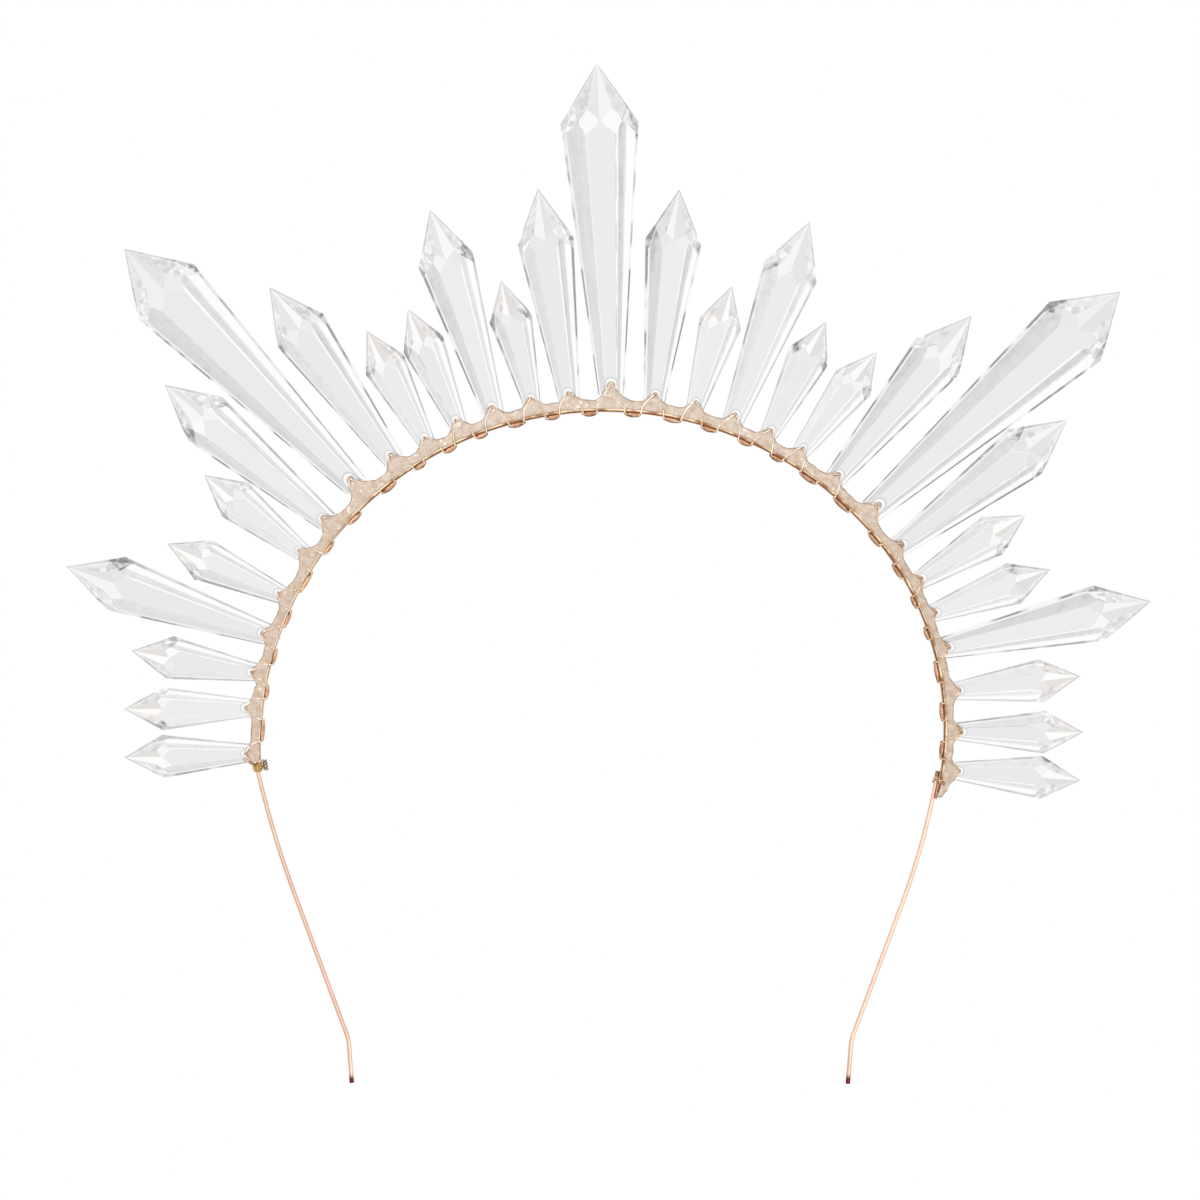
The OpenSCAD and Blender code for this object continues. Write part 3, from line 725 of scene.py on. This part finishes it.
def wireMaterial(name):
    look = wires[name]
    material, tree, shader, mask, colour = startMetal(name, look)
    if "dull" in look:
        right = mapRange(tree, splitPlace(tree)["X"], *look["dullBetween"])
        colour = blend(tree, right, colour, look["dull"], way="MULTIPLY")
    feed(tree, shader, {"Base Color": colour,
                        "Roughness": mapRange(tree, mask, 0.0, 1.0, *look["roughness"])})
    return material


# Turns under the strip: orange copper next to it, with painted shade darkest where they hang lowest
turnsLook = {"first": (0.86, 0.56, 0.36), "second": (0.58, 0.32, 0.19), "low": (0.26, 0.11, 0.06),
             "lowShadeBetween": (0.55, 0.9), "gluedDepth": 0.5, "waveScale": 420.0, "roughness": 0.32}


def turnsMaterial():
    material, tree, shader, mask, colour = startMetal("copperTurns", turnsLook)
    # painted shade on the lowest turns
    share = mapRange(tree, addAttribute(tree, "turnDepth"), *turnsLook["lowShadeBetween"])
    feed(tree, shader, {"Base Color": blend(tree, share, colour, turnsLook["low"]),
                        "Roughness": turnsLook["roughness"]})
    return material


# Glue: cloudy cured glue over copper and gold, with painted shade a little deeper in colour round its steep rim
glueLook = {
    # its two tones, and the painted shade at its steep rim
    "body": (0.6, 0.46, 0.36), "pale": (0.8, 0.71, 0.63), "rimShade": (0.3, 0.17, 0.09),
    "waves": (560.0, 1800.0, 0.25, 2.0), "bump": (0.6, 0.00022),
    # painted cream highlights, where their waves' mask is above the first value
    "creamHighlight": (0.98, 0.9, 0.78), "highlightWaves": (620.0, 2800.0, 0.0, 1.0), "highlightBetween": (0.64, 0.7),
    # the glue is a warmer tan further down both sides, from the first height to the second, in metres
    "tanTop": (0.97, 0.95, 0.91), "tanLow": (0.88, 0.82, 0.74), "tanBetween": (0.055, 0.0),
    "gloss": {"Roughness": 0.28, "Subsurface Weight": 0.35, "Subsurface Radius": (1.0, 0.7, 0.5),
              "Subsurface Scale": 0.0012, "Coat Weight": 0.5, "Coat Roughness": 0.12},
    "voxel": 0.00034, "smoothSteps": 9, "smoothShare": 0.6,
    # lumps of two sizes, the second half as high, and how far all of the glue swells
    "lumpScales": (330, 900), "lump": 0.0003, "swell": 0.00014,
    # how the painted rim shade fades on the inner side of the arch and grows where the glue turns steep
    "innerRimShade": 0.2, "rimShadeGain": 2.0, "rimShadeFrom": 0.1,
    "collarDepth": 2.58, "collarFrom": 2.6, "collarTo": 342.6, "collarSteps": 300,
    "plugDepth": 2.35, "plugSides": 12, "plugGap": 0.1, "plugLow": 0.3,
    # how far in over the strip's edge the glue has run, by place along the band
    "collarLow": ((0.0, 0.24), (62.0, 0.24), (92.0, 0.84), (338.0, 0.9), (340.0, 0.6), (342.6, 0.25)),
    "collarHigh": ((0.0, 1.7), (334.5, 1.7), (336.5, 2.8), (339.4, 2.7), (341.0, 1.6), (342.6, 0.7)),
}


def glueCollar():
    # glue over the strip's outer edge, and in the corner where the right leg is bound on
    look = glueLook
    verts, steps, deep = [], look["collarSteps"], look["collarDepth"]
    for i in range(steps + 1):
        place = look["collarFrom"] + (look["collarTo"] - look["collarFrom"]) * i / steps
        low, high = alongTable(look["collarLow"], place), alongTable(look["collarHigh"], place)
        for height, z in ((low, -deep), (high, -deep), (high, deep), (low, deep)):
            verts.append(inFrame(sunkPoint(place, height, z)))
    faces = tubeFaces(0, steps + 1, 4)
    # glue that fills each drop's bore round the wires
    sides = look["plugSides"]
    for i, row in enumerate(dropRows):
        size = dropSizes[row[0]]
        wide, middle = size["bore"] / 2 - look["plugGap"], size["boreAt"] - look["plugLow"]
        faces += tubeFaces(len(verts), 2, sides)
        for z in (-look["plugDepth"], look["plugDepth"]):
            for k in range(sides):
                turn = 2 * math.pi * k / sides
                verts.append(inFrame(dropPlace(i, wide * math.cos(turn), middle + wide * math.sin(turn), z)))
    return newMesh("glueCollar", verts, faces)


def glueMaterial():
    look = glueLook
    material, tree, shader = makeMaterial("curedGlue")
    mask, height = addWaves(tree, look["waves"])
    body = blend(tree, mask, look["body"], look["pale"])
    # a few painted cream highlights where the glue catches the light over a wire
    highlightMask = addWaves(tree, look["highlightWaves"])[0]
    bright = mapRange(tree, highlightMask, *look["highlightBetween"])
    highlighted = blend(tree, bright, body, look["creamHighlight"])
    low = mapRange(tree, splitPlace(tree)["Y"], *look["tanBetween"])
    tanned = blend(tree, 1.0, highlighted, blend(tree, low, look["tanTop"], look["tanLow"]),
                   way="MULTIPLY")
    # painted shade at the steep rim
    colour = blend(tree, addAttribute(tree, "rimShade"), tanned, look["rimShade"])
    feed(tree, shader, {"Base Color": colour, **look["gloss"]})
    addBump(tree, shader, height, look["bump"])
    return material


def buildGlue():
    look = glueLook
    piece = copyOfNode("resin", "gluedBead")
    turnOutwards(piece, glueCollar())
    applyModifier(piece, "REMESH", mode="VOXEL", voxel_size=look["voxel"])
    applyModifier(piece, "SMOOTH", factor=look["smoothShare"], iterations=look["smoothSteps"])
    count = len(piece.data.vertices)
    places = np.empty(count * 3, np.float32)
    normals = np.empty(count * 3, np.float32)
    piece.data.vertices.foreach_get("co", places)
    piece.data.vertices.foreach_get("normal", normals)
    places, normals = places.reshape(-1, 3), normals.reshape(-1, 3)
    coarse, fine = look["lumpScales"]
    lumps = np.array([noise.noise(Vector(p) * coarse) + 0.5 * noise.noise(Vector(p) * fine) for p in places])
    places += normals * (lumps * look["lump"] + look["swell"])[:, None].astype(np.float32)
    piece.data.vertices.foreach_set("co", places.ravel())
    # painted shade on the glue's steep rim, faint on the inner side of the arch
    outward = places[:, :2] - np.array(crown["shift"][:2]) * mm
    outward /= np.linalg.norm(outward, axis=1)[:, None]
    outer = np.clip(0.5 + 2 * (outward * normals[:, :2]).sum(1), look["innerRimShade"], 1)
    steep = np.clip((1 - np.abs(normals[:, 2])) * look["rimShadeGain"] - look["rimShadeFrom"], 0, 1)
    addValues(piece.data, "rimShade", "POINT", steep * outer)
    piece.data.update()
    piece.data.polygons.foreach_set("use_smooth", [True] * len(piece.data.polygons))
    dress(piece, glueMaterial())
    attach(piece, "root")
    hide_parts("resin")
    print("glue built:", len(piece.data.polygons), "faces")


def smoothRoute(points, steps):
    # a soft curve through all the points
    ends = [2 * points[0] - points[1]] + points + [2 * points[-1] - points[-2]]
    made = []
    for a, b, c, d in zip(ends, ends[1:], ends[2:], ends[3:]):
        for k in range(steps):
            t = k / steps
            made.append(0.5 * (2 * b + (c - a) * t + (2 * a - 5 * b + 4 * c - d) * t ** 2
                               + (3 * b - a - 3 * c + d) * t ** 3))
    return made + [points[-1]]


def wirePiece(name, routes, radius, material, replaced, sides=10):
    # round wires swept along routes in crown millimetres, with closed ends
    verts, faces = [], []
    for route in routes:
        faces += tubeFaces(len(verts), len(route), sides)
        across = Vector((0.3, 0.5, 0.8))
        for i, at in enumerate(route):
            along = (route[min(i + 1, len(route) - 1)] - route[max(i - 1, 0)]).normalized()
            across = (across - across.dot(along) * along).normalized()
            other = along.cross(across)
            for k in range(sides):
                angle = 2 * math.pi * k / sides
                verts.append(inFrame(at + radius * (math.cos(angle) * across + math.sin(angle) * other)))
    piece = newMesh(name, verts, faces)
    dress(piece, material)
    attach(piece, "root")
    if replaced:
        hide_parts(*replaced)
    return piece


# Lacing: each wire goes up one side of a web, half sunk in the glue, through the bore and down the other side
lacing = {
    "seed": 29, "radius": 0.26, "smooth": 5,
    # under the strip, over its edges and out at the web's foot
    "over": 2.98, "under": 0.5, "underDeep": 2.5, "footHeight": 1.6, "slant": 0.9, "slantRange": (0.6, 1.2),
    "firstSlant": -0.4, "crossing": {1: -0.35, -1: -0.55},
    # depth of the wire where it is sunk in the glue, and where it stands out of it
    "footDeep": (2.6, 2.98), "middleDeep": (2.48, 2.72), "topDeep": (2.66, 2.98),
    # how far out of the glue the wires come, by drop
    "shown": ((0, 0.3), (6, 0.35), (9, 1.0), (19, 1.0), (21, 0.45), (28, 0.45)),
    "twist": 0.35, "twistHalf": 1.3, "sway": 0.3, "bow": 0.35,
    # the turns between two drops: their room, how far down they hang, and the way they cross
    "strands": 7, "strandRadius": 0.26, "gap": 0.4, "top": 0.3, "topStep": 0.12, "inset": 0.16,
    "shoulder": 0.62, "turnSway": 0.4,
    "turnDeep": ((2.45, 0.0), (2.3, -0.4), (2.2, -0.8), (1.6, -0.9), (-1.2, 0.0)),
    "hang": ((0.0, 0.9), (62.0, 0.9), (92.0, 1.16), (225.0, 1.12), (285.0, 0.84), (345.0, 0.8)),
}


def laceStretch(i, side, luck):
    look = lacing
    size = dropSizes[dropRows[i][0]]
    place, foot, twist = dropRows[i][1], size["foot"], look["twist"]
    height = size["boreAt"] - (size["bore"] / 2 - twist - 0.35)

    def leg(sign, face):
        # each stretch lies more or less deep in the glue
        sway, shown = look["sway"] * luck.uniform(-1, 1), luck.random() * alongTable(look["shown"], i)
        footDeep, middleDeep, topDeep = [deep + (proud - deep) * shown for deep, proud in (
            look["footDeep"], look["middleDeep"], look["topDeep"])]
        low = bandPoint(place + sign * foot, look["footHeight"], face * footDeep)
        top = dropPlace(i, sign * twist, height, face * topDeep)
        middle = (low + top) / 2 + direction(bandArc(place)[2] - 90) * sign * (look["bow"] + sway)
        middle.z = face * middleDeep
        slant = look["slant"] * luck.uniform(*look["slantRange"])
        if i == 0 and sign < 0:
            slant = look["firstSlant"]
        return [sunkPoint(place + sign * (foot + slant), -look["under"], face * look["underDeep"]),
                sunkPoint(place + sign * (foot + slant / 2), 0.15, face * (look["over"] + 0.05)),
                sunkPoint(place + sign * (foot + slant / 4), 0.9, face * (footDeep + 0.1)), low, middle, top]

    inside = [dropPlace(i, -twist * math.cos(t * math.pi / 4),
                        height - side * twist * math.sin(t * math.pi / 4),
                        side * look["twistHalf"] * (1 - t / 2)) for t in range(5)]
    return leg(-1, side) + inside + leg(1, -side)[::-1]


def betweenDrops(i):
    # the strip's free stretch between a drop's foot and the next one's
    return (dropRows[i][1] + dropSizes[dropRows[i][0]]["foot"],
            dropRows[i + 1][1] - dropSizes[dropRows[i + 1][0]]["foot"])


def gluedShare(place):
    # 1 down the left side, where the glue has run over the strip
    low, high = strip["glued"]
    return max(0.0, min(1.0, (high - place) / (high - low)))


def buildLacing(gold, copper):
    look = lacing
    luck = random.Random(look["seed"])
    last = len(dropRows) - 1
    for name, side in (("lacingFrontWire", 1), ("lacingBackWire", -1)):
        route = []
        for i in range(last + 1):
            route += laceStretch(i, side, luck)
            if i < last:
                route.append(sunkPoint(sum(betweenDrops(i)) / 2, look["crossing"][side]))
        wirePiece(name, [smoothRoute(route, look["smooth"])], look["radius"], gold,
                  ["lacing_front" if side > 0 else "lacing_back"])
    # the turns that lie side by side under the strip between two drops
    turns, depths = [], []
    for i in range(last):
        a, b = betweenDrops(i)
        a, b = a + look["gap"], b - look["gap"]
        for k in range(look["strands"]):
            share = k / (look["strands"] - 1)
            face = -1 if k % 2 else 1
            deep = look["top"] + (alongTable(look["hang"], (a + b) / 2) - look["top"]) * share
            side, inset = look["top"] + (deep - look["top"]) * look["shoulder"], (b - a) * look["inset"]
            # each turn's share of the painted shade, less where the glue has run over the strip
            depths.append(share * (1 + (turnsLook["gluedDepth"] - 1) * gluedShare(a)))
            # half of them hang towards the front and half towards the back
            first, end = (a, b) if luck.random() < 0.5 else (b, a)
            inset = math.copysign(inset, end - first)
            start = look["top"] + look["topStep"] * share
            middle = (a + b) / 2 + luck.uniform(-look["turnSway"], look["turnSway"])
            points = ((first, start), (first + inset, side), (middle, deep), (end - inset, side), (end, start))
            turns.append(smoothRoute([
                sunkPoint(place, -height, face * (out + change * share))
                for (place, height), (out, change) in zip(points, look["turnDeep"])], look["smooth"]))
    piece = wirePiece("lacingTurns", turns, look["strandRadius"], copper, [])
    ring = len(piece.data.vertices) // len(turns)
    addValues(piece.data, "turnDepth", "POINT", np.repeat(depths, ring))
    print("lacing built:", last + 1, "drops laced")


# The bent strip: painted shade in brown on its narrow front and back edges, with a painted gold highlight line
# along their outer side.
# Down the left side the glue has run over the edge, and the painted gold highlight shows there alone
strip = {
    "rings": 420, "thickness": 1.06, "halfDepth": 2.5, "round": 0.12,
    "snipLength": 3.6, "snipDepth": 0.84,
    "glued": (62.0, 92.0),
    "first": (0.68, 0.38, 0.22), "second": (0.4896, 0.2736, 0.1584),
    # painted shade on the narrow edges, a painted gold highlight line, and the darker stretches between its
    # bright patches
    "paintedInnerEdge": (0.2, 0.075, 0.03), "gold": (0.97, 0.76, 0.5), "wearAndShade": (0.4, 0.2, 0.1),
    # under the glue: a painted cream highlight at the edge, the gold highlight line muted, and a thin painted
    # shade contour
    "gluedEdgeHighlight": (0.98, 0.82, 0.56), "gluedOverHighlight": (0.6, 0.44, 0.32), "contourShade": (0.32, 0.17, 0.08),
    # shares of the strip's thickness where the painted shade contour ends and where the painted gold highlight
    # line starts
    "contourShadeBetween": (0.1, 0.2), "goldHighlightBetween": (0.36, 0.46), "goldHighlightWander": 0.2,
    "edgeBetween": (0.965, 0.985),    # how far out to the front or back the edges' colours begin
    "waveScale": 200.0, "grainScale": 3000.0, "highlightPatchWaves": (260.0, 900.0, 0.0, 5.0), "roughness": 0.3,
}


def stripMaterial():
    look = strip
    material, tree, shader, mask, body = startMetal("copperStrip", look)
    out, edgeward, glued = splitVector(tree, addAttribute(tree, "stripPlace", "Vector"))
    wander = calc(tree, "MULTIPLY_ADD", mask, look["goldHighlightWander"], -look["goldHighlightWander"] / 2)
    height = calc(tree, "ADD", out, wander)
    inner = mapRange(tree, height, *look["contourShadeBetween"])
    # painted shade in brown on the edge's inner part; under the glue a thin painted shade contour and a painted
    # cream highlight
    paintedInnerEdge = blend(tree, glued, look["paintedInnerEdge"],
                  blend(tree, inner, look["contourShade"], look["gluedEdgeHighlight"]))
    # the painted gold highlight line is bright in stretches and darker between them
    highlightPatches = addWaves(tree, look["highlightPatchWaves"])[0]
    highlightLine = blend(tree, highlightPatches, look["wearAndShade"], look["gold"])
    gold = blend(tree, glued, highlightLine, look["gluedOverHighlight"])
    edge = blend(tree, mapRange(tree, height, *look["goldHighlightBetween"]), paintedInnerEdge, gold)
    onEdge = mapRange(tree, edgeward, *look["edgeBetween"])
    feed(tree, shader, {"Base Color": blend(tree, onEdge, body, edge),
                        "Roughness": look["roughness"]})
    return material


def buildStrip():
    thick, deep, r, rings = strip["thickness"], strip["halfDepth"], strip["round"], strip["rings"]
    section = [(0, -deep + r), (r, -deep), (thick - r, -deep), (thick, -deep + r),
               (thick, deep - r), (thick - r, deep), (r, deep), (0, deep - r)]
    verts, care = [], []
    first, last = crown["bandStart"], bandLength
    for i in range(rings + 1):
        place = first + (last - first) * i / rings
        lower = max(0.0, place - (last - strip["snipLength"])) / strip["snipLength"] * strip["snipDepth"]
        for height, z in section:
            verts.append(inFrame(sunkPoint(place, min(height, thick - lower), z)))
            care.append((height / thick, abs(z) / deep, gluedShare(place)))
    piece = newMesh("bentStrip", verts, tubeFaces(0, rings + 1, len(section)), smooth=False)
    addValues(piece.data, "stripPlace", "POINT", care)
    turnOutwards(piece)
    dress(piece, stripMaterial())
    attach(piece, "root")
    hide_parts("band")
    print("strip built")


# Wire turns that bind the legs on: height above the strip's inner face, and z, for one turn
bindings = {
    "pitch": 0.55, "knotRadius": 0.34, "bindingRadius": 0.23, "endRadius": 0.24, "braidRadius": 0.24,
    "leftTurn": ((-0.4, 0), (-0.45, 2.4), (0, 3.05), (1.2, 3.0), (2.0, 2.1), (2.4, 0.7),
                 (2.4, -0.7), (2.0, -2.1), (1.2, -3.0), (0, -3.05), (-0.45, -2.4)),
    "rightTurn": ((-1.75, 0.5), (-1.1, 1.8), (0, 2.9), (0.8, 3.05), (1.5, 2.7), (1.7, 0),
                  (1.5, -2.7), (0.8, -3.05), (0, -2.9), (-1.1, -1.8), (-1.75, -0.5)),
    "knotPlace": -0.05, "knotTurns": 4, "knotMiddle": 1.1, "knotTaper": 0.34,
    "bindingPlace": 337.6, "bindingTurns": 2, "bindingTilt": 0.15,
    "braidFrom": (3.2, -1.15), "braidTo": (0.1, -1.55), "braidTurns": 1.7, "braidSteps": 24,
    "braidWide": 0.56, "braidSlim": 0.7, "braidDeep": 0.9,
    # places along the band with height and z: from the knot to the braid, and the two thin ends in the
    # first drop's own frame and then along the band
    "across": ((2.1, 1.6, 2.2), (2.4, 0.7, 2.9), (2.7, -0.2, 2.7), (3.0, -0.8, 2.0)),
    "endsInDrop": ((-1.7, 2.7, 1.9), (-2.3, 2.0, 2.3)),
    "endsByBand": ((2.5, 3.3, 2.5), (1.9, 2.2, 2.3), (1.5, 1.6, 1.7)),
}


def turnsRoute(outline, place, count, taper, tilt):
    # turns that draw in towards both ends of the winding, and may cross the front at a slant
    made, total, middle = [], count * len(outline), bindings["knotMiddle"]
    for i in range(total + 1):
        height, z = outline[i % len(outline)]
        squeeze = 1 - taper * (2 * i / total - 1) ** 2
        at = place + bindings["pitch"] * i / len(outline) + tilt * height * z
        made.append(bandPoint(at, middle + (height - middle) * squeeze, z * squeeze))
    return made


def braidRoute(phase):
    made, steps, slim, deep = [], bindings["braidSteps"], bindings["braidSlim"], bindings["braidDeep"]
    for i in range(steps + 1):
        share = i / steps
        turn = 2 * math.pi * bindings["braidTurns"] * share + phase
        place, height = [a + (b - a) * share for a, b in zip(bindings["braidFrom"], bindings["braidTo"])]
        wide = bindings["braidWide"] * (slim + (1 - slim) * math.sin(math.pi * share))
        made.append(bandPoint(place, height + wide * math.cos(turn), deep + wide * math.sin(turn)))
    return made


def buildKnots(bronze, dark, wearAndShade):
    look = bindings
    left = turnsRoute(look["leftTurn"], look["knotPlace"], look["knotTurns"], look["knotTaper"], 0)
    wirePiece("knotLeftWire", [smoothRoute(left, 4)], look["knotRadius"], bronze, ["knot_left"])
    # the turns' end crosses to the inner side and is twisted there with the lacing's end
    across = [bandPoint(*at) for at in look["across"]]
    wirePiece("knotLeftBraid", [smoothRoute(across + braidRoute(0.0), 4), braidRoute(math.pi)],
              look["braidRadius"], dark, [])
    # two thin ends run from the first drop's neck into the turns, before and behind
    ends = [[dropPlace(0, x, y, z * face) for x, y, z in look["endsInDrop"]]
            + [bandPoint(place, height, z * face) for place, height, z in look["endsByBand"]]
            for face in (1, -1)]
    wirePiece("knotLeftEnds", [smoothRoute(end, 5) for end in ends], look["endRadius"], wearAndShade, [])
    right = turnsRoute(look["rightTurn"], look["bindingPlace"], look["bindingTurns"], 0, look["bindingTilt"])
    wirePiece("bindingRightWire", [smoothRoute(right, 4)], look["bindingRadius"], wearAndShade,
              ["binding_right"])
    print("knots built")


# Legs keep their CAD shape, with darker, scorched tips
legs = {
    "first": (0.95, 0.66, 0.52), "second": (0.88, 0.57, 0.43), "tip": (0.16, 0.03, 0.02), "tipLength": 1.6,
    # the right leg's short end above its binding is tarnished
    "dull": (0.36, 0.2, 0.13), "dullFrom": {"leg_left": 0.0, "leg_right": -60.8}, "dullFade": 0.6,
    "waveScale": 220.0, "bump": (0.4, 0.00002), "roughness": 0.3,
}


def legMaterial(name, dullFrom):
    material, tree, shader, mask, colour = startMetal(name, legs)
    height = splitPlace(tree)["Y"]
    dull = mapRange(tree, height, (dullFrom - legs["dullFade"]) * mm, dullFrom * mm)
    dulled = blend(tree, dull, colour, legs["dull"])
    lowest, length = cadBox[0][1], legs["tipLength"] * mm
    tip = mapRange(tree, height, lowest + length, lowest + 2 * length, 1.0, 0.0)
    feed(tree, shader, {"Base Color": blend(tree, tip, dulled, legs["tip"]),
                        "Roughness": legs["roughness"]})
    return material


buildStudio()
buildDrops()
buildGlue()
goldWire, wornWire, bronzeWire, darkWire = [wireMaterial(name) for name in wires]
buildLacing(goldWire, turnsMaterial())
buildStrip()
buildKnots(bronzeWire, darkWire, wornWire)
for name, dullFrom in legs["dullFrom"].items():
    dress(nodes[name], legMaterial("roseWire" + name[3:].title().replace("_", ""), dullFrom))
print("legs dressed")
